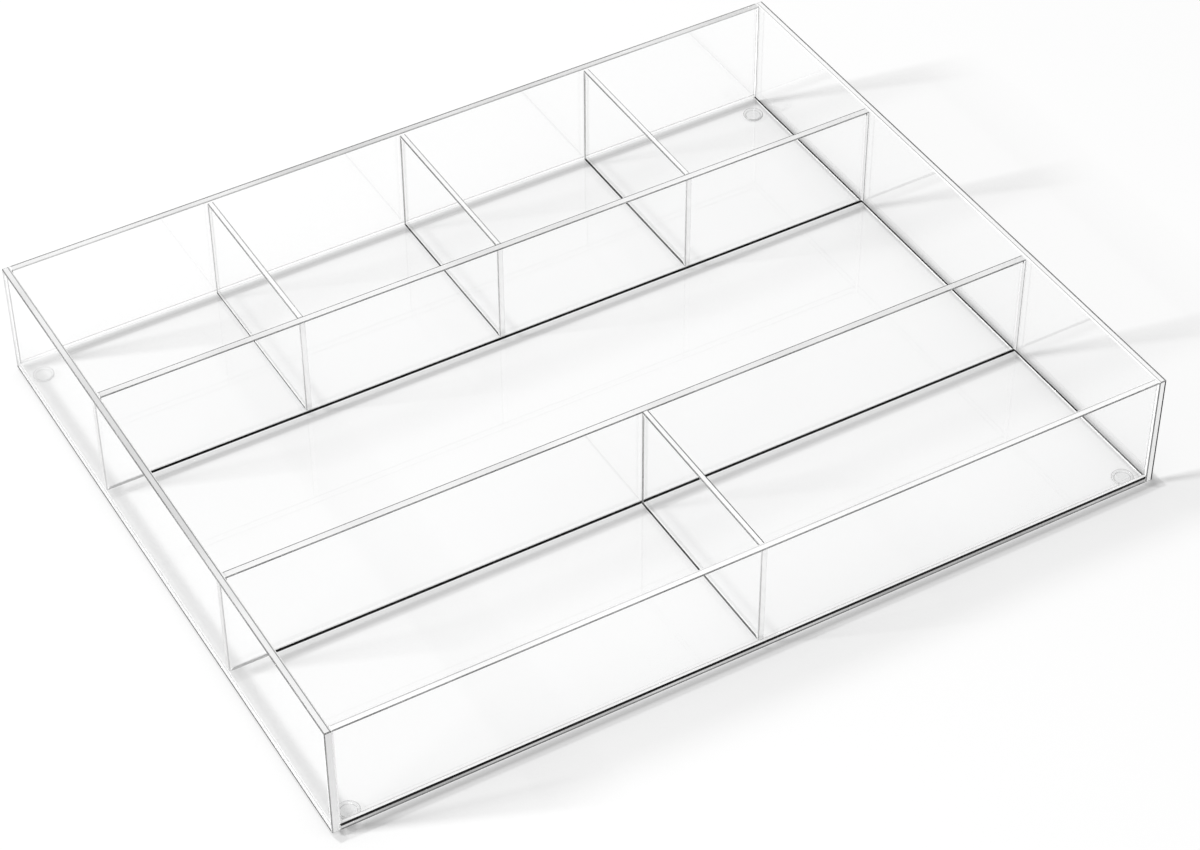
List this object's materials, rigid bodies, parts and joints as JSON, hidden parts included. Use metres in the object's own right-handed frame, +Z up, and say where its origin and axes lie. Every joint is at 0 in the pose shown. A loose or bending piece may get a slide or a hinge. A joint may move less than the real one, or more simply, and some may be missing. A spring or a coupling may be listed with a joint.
{
  "type": "drawer organizer",
  "caption": "Low rectangular tray of clear sheets with small compartments along the back, a full-width one in the middle and wide ones along the front, on round bumpers.",
  "frame": {"origin": "under the middle of the tray, on the surface that the bumpers rest on", "axes": "+X along the front to the right, +Y from the front to the back, +Z up"},
  "size_m": [0.343, 0.275, 0.0516],
  "materials": {
    "clear_acrylic": "polished clear acrylic sheet",
    "clear_bumper": "clear soft polyurethane"
  },
  "bodies": {
    "root": {"base_panel": "clear_acrylic", "left_wall": "clear_acrylic", "right_wall": "clear_acrylic", "front_wall": "clear_acrylic", "back_wall": "clear_acrylic", "rear_long_divider": "clear_acrylic", "front_long_divider": "clear_acrylic", "rear_short_divider_1": "clear_acrylic", "rear_short_divider_2": "clear_acrylic", "rear_short_divider_3": "clear_acrylic", "front_short_divider_1": "clear_acrylic", "foot_front_left": "clear_bumper", "foot_front_right": "clear_bumper", "foot_rear_left": "clear_bumper", "foot_rear_right": "clear_bumper"}
  },
  "joints": []
}
